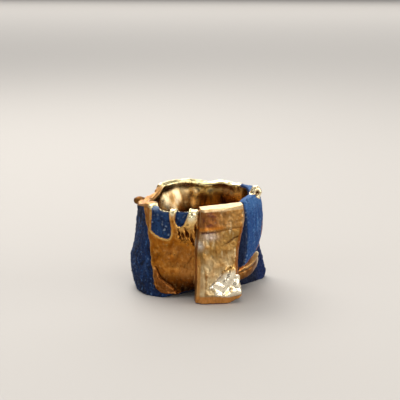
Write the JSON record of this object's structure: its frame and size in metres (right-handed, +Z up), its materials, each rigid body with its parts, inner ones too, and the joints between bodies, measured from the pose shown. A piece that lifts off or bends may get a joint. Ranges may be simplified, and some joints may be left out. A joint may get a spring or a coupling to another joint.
{
  "type": "sake cup",
  "caption": "Small hand-built sake cup of thick overlapping clay slabs that end in separate feet, with a round hollow open at the top.",
  "frame": {"origin": "on the table, under the middle of the box round the cup", "axes": "+Z up, +X to the right of someone who faces the front plate, -Y the front"},
  "size_m": [0.0726, 0.0662, 0.0542],
  "materials": {
    "cobalt_clay": "matt cobalt glaze on stoneware, with gold lustre over the front, the rim and the inside"
  },
  "bodies": {
    "root": {"cup": "cobalt_clay"}
  },
  "joints": []
}
